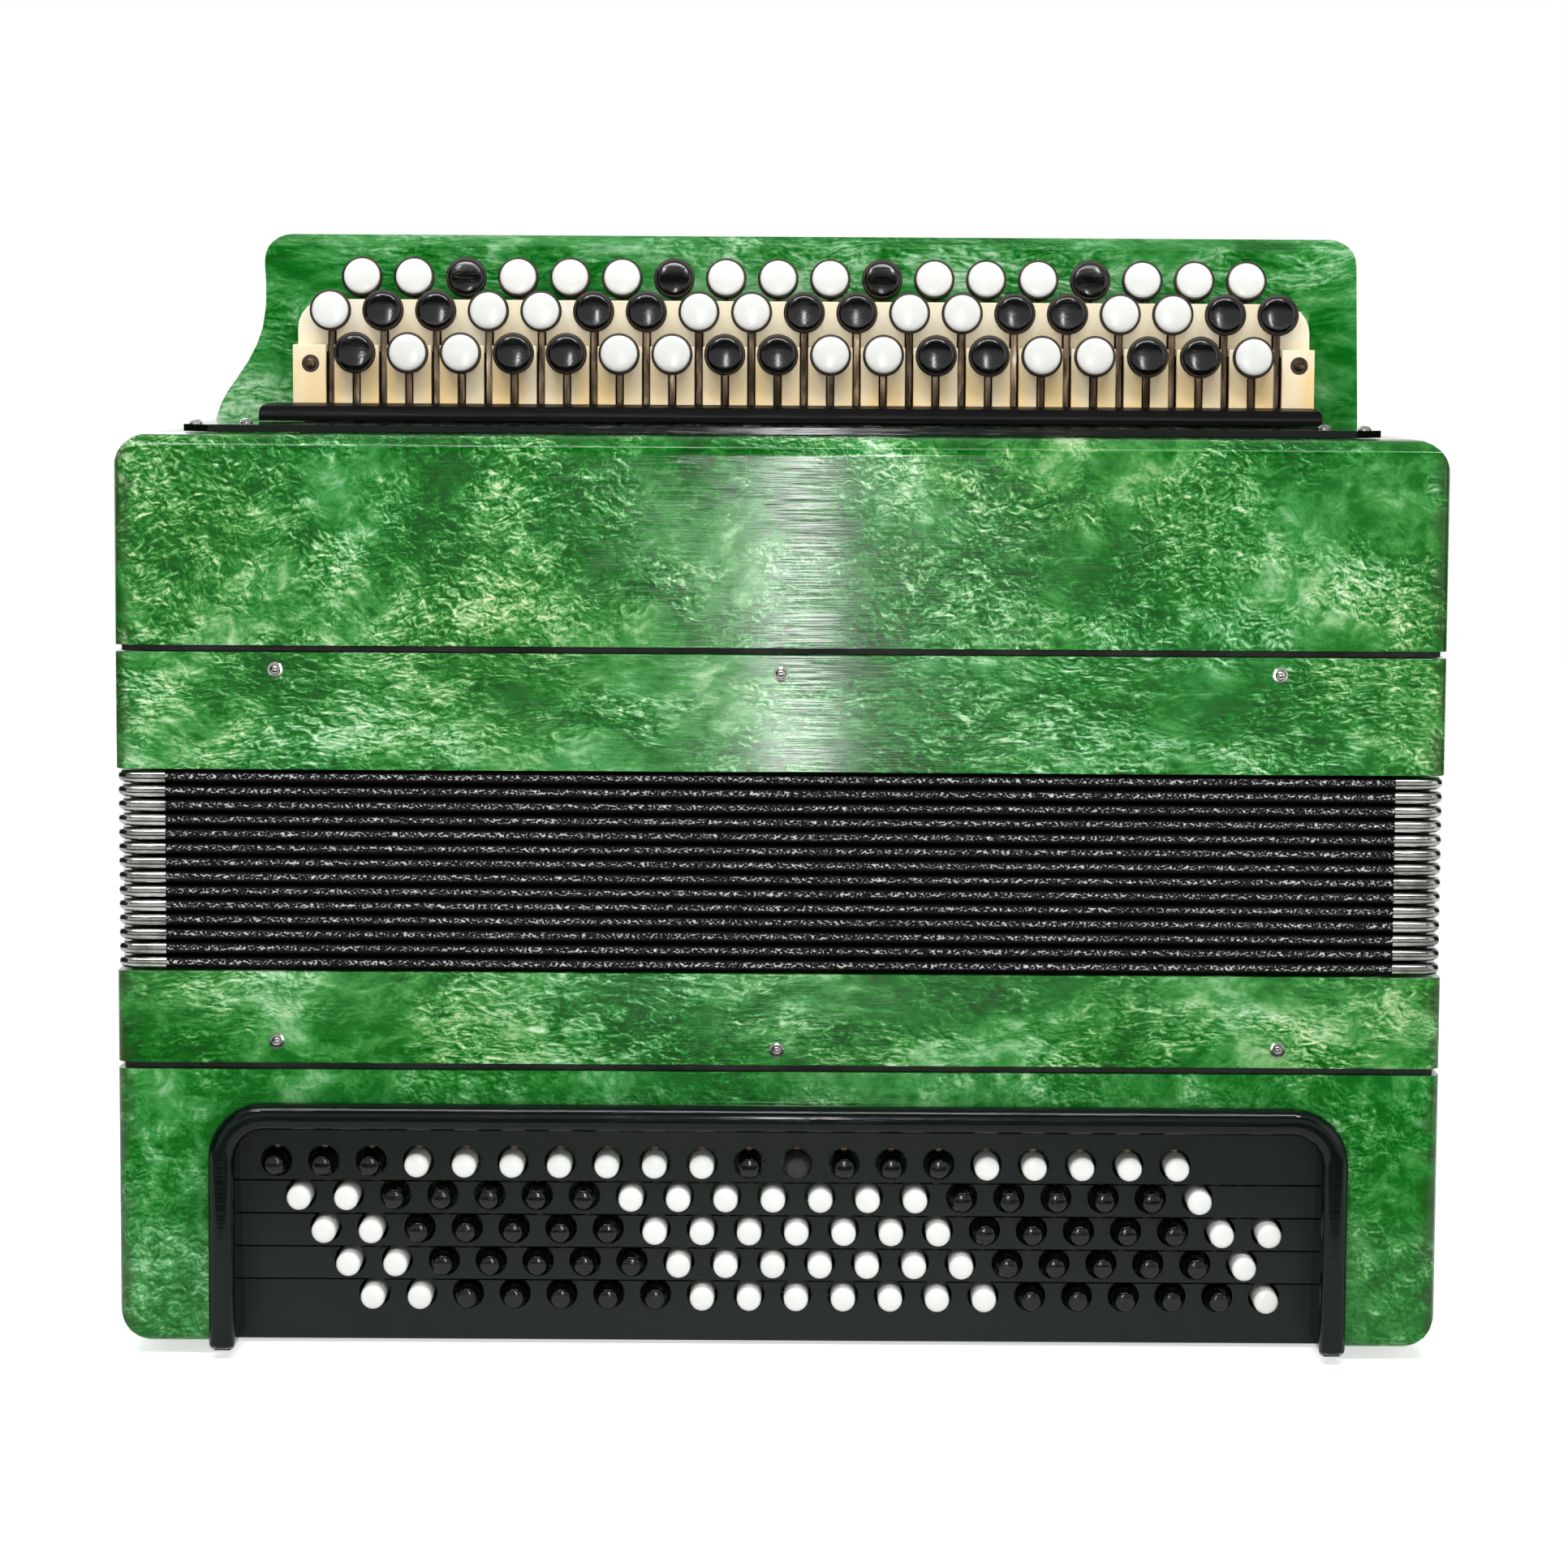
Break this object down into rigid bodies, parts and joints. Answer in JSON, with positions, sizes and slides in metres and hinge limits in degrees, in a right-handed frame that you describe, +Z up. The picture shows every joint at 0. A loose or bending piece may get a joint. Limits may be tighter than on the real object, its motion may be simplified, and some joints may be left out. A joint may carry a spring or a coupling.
{
  "type": "bayan",
  "caption": "Button accordion with a treble key box, folding bellows and a bass box with stepped button panel.",
  "frame": {"origin": "centre of the footprint on the surface that the four feet stand on, with the instrument upright on its bass end and the bellows closed", "axes": "+X to the right along the length of the button rows, +Y to the back, away from the front face with the bass buttons, +Z up from the bass end to the treble end"},
  "size_m": [0.43, 0.2106, 0.3682],
  "materials": {
    "box_wood": "plywood covered in polished green pearl celluloid",
    "bare_wood": "bare planed softwood",
    "ivory_plastic": "aged ivory plastic, half gloss",
    "black_gloss_plastic": "polished black",
    "black_satin_plastic": "satin black",
    "treble_keys": "polished white and black caps on metal levers",
    "bass_keys": "white and black caps on plungers and levers",
    "pallets": "wood pallets faced with felt",
    "steel": "plain steel sheet",
    "nickel": "worn nickel plate",
    "bellows_cloth": "black grained leathercloth over card",
    "gasket_leather": "soft black leather strip",
    "strap_leather": "black leather",
    "foot_rubber": "plain rubber pad"
  },
  "bodies": {
    "bass side": {"bass_casing": "box_wood", "bass_bellows_frame": "box_wood", "bass_gasket": "gasket_leather", "bellows": "bellows_cloth", "bass_deck": "bare_wood", "bass_reed_block_1": "bare_wood", "bass_reed_block_2": "bare_wood", "bass_button_panel": "black_satin_plastic", "bass_bezel": "black_gloss_plastic", "bass_bearing_left": "steel", "bass_bearing_middle": "steel", "bass_bearing_right": "steel", "bass_end_cover": "black_satin_plastic", "hand_strap": "strap_leather", "strap_anchor_left": "steel", "strap_anchor_right": "steel", "foot_front_left": "foot_rubber", "foot_front_right": "foot_rubber", "foot_back_left": "foot_rubber", "foot_back_right": "foot_rubber"},
    "treble side": {"treble_casing": "box_wood", "treble_bellows_frame": "box_wood", "treble_gasket": "gasket_leather", "treble_deck": "bare_wood", "treble_reed_block_1": "bare_wood", "treble_reed_block_2": "bare_wood", "treble_reed_block_3": "bare_wood", "treble_bearing_left": "steel", "treble_bearing_right": "steel", "treble_grille": "black_gloss_plastic", "fingerboard": "box_wood", "lever_comb": "ivory_plastic", "lever_guard_bar": "black_gloss_plastic", "strap_bracket_left": "nickel", "strap_bracket_right": "nickel"},
    "treble top row": {"treble_row_top": "treble_keys"},
    "treble middle row": {"treble_row_middle": "treble_keys"},
    "treble low row": {"treble_row_low": "treble_keys"},
    "left strap loop": {"strap_loop_left": "nickel"},
    "right strap loop": {"strap_loop_right": "nickel"},
    "bass first row": {"bass_row_1": "bass_keys"},
    "bass second row": {"bass_row_2": "bass_keys"},
    "bass third row": {"bass_row_3": "bass_keys"},
    "bass fourth row": {"bass_row_4": "bass_keys"},
    "bass fifth row": {"bass_row_5": "bass_keys"},
    "air key": {"air_button": "bass_keys"},
    "bass pallets": {"bass_pallet_bank": "pallets"},
    "air valve": {"air_valve": "pallets"}
  },
  "joints": [
    {"name": "bellows_slide", "type": "slide", "parent": "bass side", "child": "treble side", "axis": [0, 0, 1], "range_m": [0, 0.25], "deforming": ["bellows"]},
    {"name": "treble_top_press", "type": "hinge", "parent": "treble side", "child": "treble top row", "pos_m": [0, 0.0147, 0.2867], "axis": [-1, 0, 0], "range_deg": [0, 3], "stiffness_Nm_per_rad": 3, "springref_deg": -11.46},
    {"name": "treble_middle_press", "type": "hinge", "parent": "treble side", "child": "treble middle row", "pos_m": [0, 0.0072, 0.2907], "axis": [-1, 0, 0], "range_deg": [0, 3.9], "stiffness_Nm_per_rad": 3, "springref_deg": -11.46},
    {"name": "treble_low_press", "type": "hinge", "parent": "treble side", "child": "treble low row", "pos_m": [0, 0.0019, 0.2967], "axis": [-1, 0, 0], "range_deg": [0, 6.6], "stiffness_Nm_per_rad": 3, "springref_deg": -11.46},
    {"name": "left_loop_hinge", "type": "hinge", "parent": "treble side", "child": "left strap loop", "pos_m": [-0.185, 0.1025, 0.2748], "axis": [1, 0, 0], "range_deg": [0, 100]},
    {"name": "right_loop_hinge", "type": "hinge", "parent": "treble side", "child": "right strap loop", "pos_m": [0.185, 0.1025, 0.2748], "axis": [1, 0, 0], "range_deg": [0, 100]},
    {"name": "bass_1_press", "type": "hinge", "parent": "bass side", "child": "bass first row", "pos_m": [0, -0.0831, 0.084], "axis": [1, 0, 0], "range_deg": [0, 7.7], "stiffness_Nm_per_rad": 1.5, "springref_deg": -11.46},
    {"name": "bass_2_press", "type": "hinge", "parent": "bass side", "child": "bass second row", "pos_m": [0, -0.0781, 0.084], "axis": [1, 0, 0], "range_deg": [0, 4.95], "stiffness_Nm_per_rad": 1.5, "springref_deg": -11.46},
    {"name": "bass_3_press", "type": "hinge", "parent": "bass side", "child": "bass third row", "pos_m": [0, -0.0731, 0.084], "axis": [1, 0, 0], "range_deg": [0, 3.65], "stiffness_Nm_per_rad": 1.5, "springref_deg": -11.46},
    {"name": "bass_4_press", "type": "hinge", "parent": "bass side", "child": "bass fourth row", "pos_m": [0, -0.0681, 0.084], "axis": [1, 0, 0], "range_deg": [0, 2.9], "stiffness_Nm_per_rad": 1.5, "springref_deg": -11.46},
    {"name": "bass_5_press", "type": "hinge", "parent": "bass side", "child": "bass fifth row", "pos_m": [0, -0.0631, 0.084], "axis": [1, 0, 0], "range_deg": [0, 2.4], "stiffness_Nm_per_rad": 1.5, "springref_deg": -11.46},
    {"name": "air_press", "type": "hinge", "parent": "bass side", "child": "air key", "pos_m": [0.1591, -0.0731, 0.084], "axis": [1, 0, 0], "range_deg": [0, 3.65], "stiffness_Nm_per_rad": 0.5, "springref_deg": -11.46},
    {"name": "bass_pallets_lift", "type": "hinge", "parent": "bass side", "child": "bass pallets", "pos_m": [0, -0.0253, 0.08], "axis": [1, 0, 0], "range_deg": [-8, 0]},
    {"name": "air_valve_lift", "type": "hinge", "parent": "bass side", "child": "air valve", "pos_m": [0.1808, -0.0253, 0.08], "axis": [1, 0, 0], "range_deg": [-10, 0]}
  ],
  "couplings": [
    {"joint": "bass_pallets_lift", "follows": "bass_2_press", "ratio": -1.6},
    {"joint": "air_valve_lift", "follows": "air_press", "ratio": -2.7}
  ]
}
